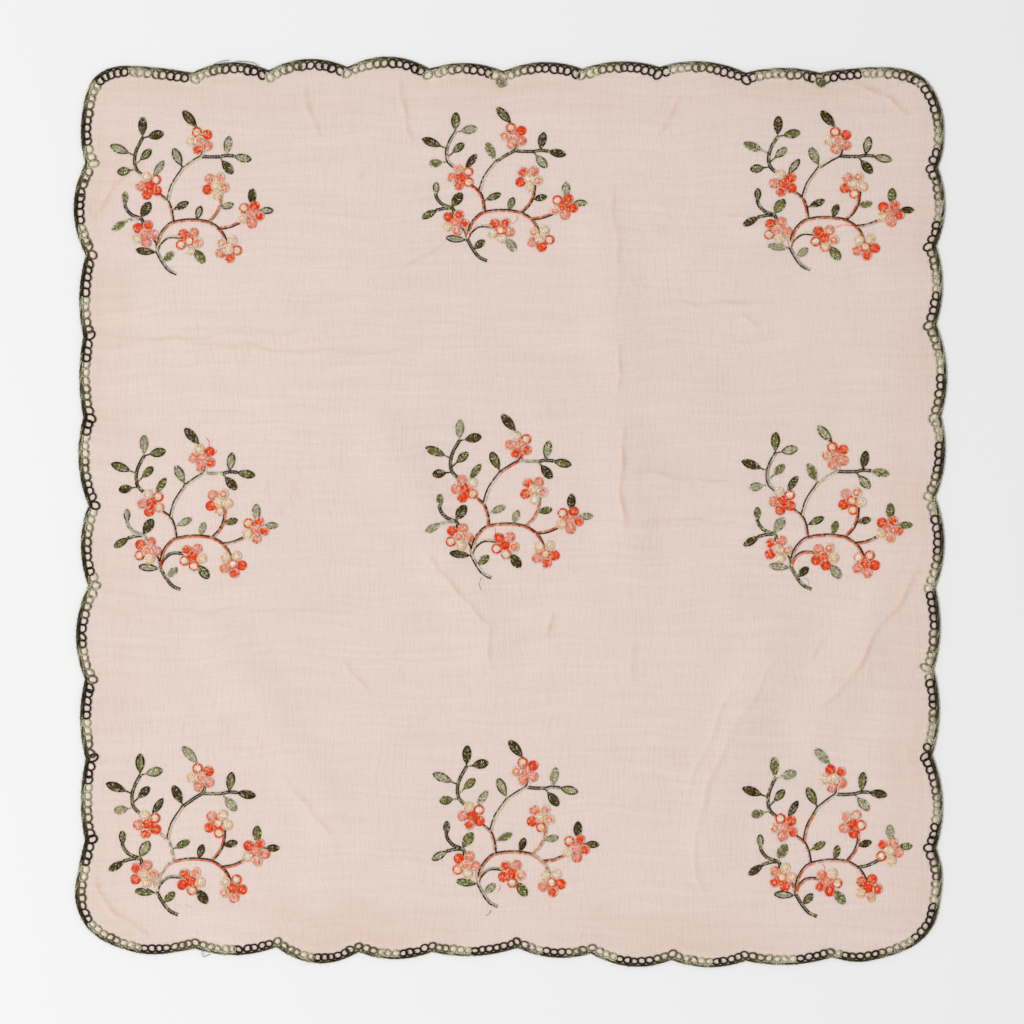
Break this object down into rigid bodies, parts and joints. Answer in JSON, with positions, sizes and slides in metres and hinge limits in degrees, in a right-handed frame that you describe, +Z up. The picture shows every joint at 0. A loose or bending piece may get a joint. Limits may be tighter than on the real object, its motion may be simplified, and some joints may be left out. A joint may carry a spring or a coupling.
{
  "type": "bandana",
  "caption": "Square sheer cloth laid flat, with a scalloped cord edge, an inner row of small yarn loops and embroidered flowering sprigs.",
  "frame": {"origin": "on the surface that the cloth lies on, under the middle of the bandana", "axes": "+Z up from the surface, +X to the right of the face and +Y to its top edge"},
  "size_m": [0.541, 0.5644, 0.0032],
  "materials": {
    "voile": "sheer matte weave",
    "edge_yarn": "variegated green yarn",
    "loop_yarn": "variegated green yarn",
    "embroidery": "stranded cotton chain stitch"
  },
  "bodies": {
    "root": {"cloth_panel": "voile", "edge_cord": "edge_yarn", "loop_row": "loop_yarn", "sprig_top_left": "embroidery", "sprig_top_middle": "embroidery", "sprig_top_right": "embroidery", "sprig_middle_left": "embroidery", "sprig_centre": "embroidery", "sprig_middle_right": "embroidery", "sprig_bottom_left": "embroidery", "sprig_bottom_middle": "embroidery", "sprig_bottom_right": "embroidery"}
  },
  "joints": []
}
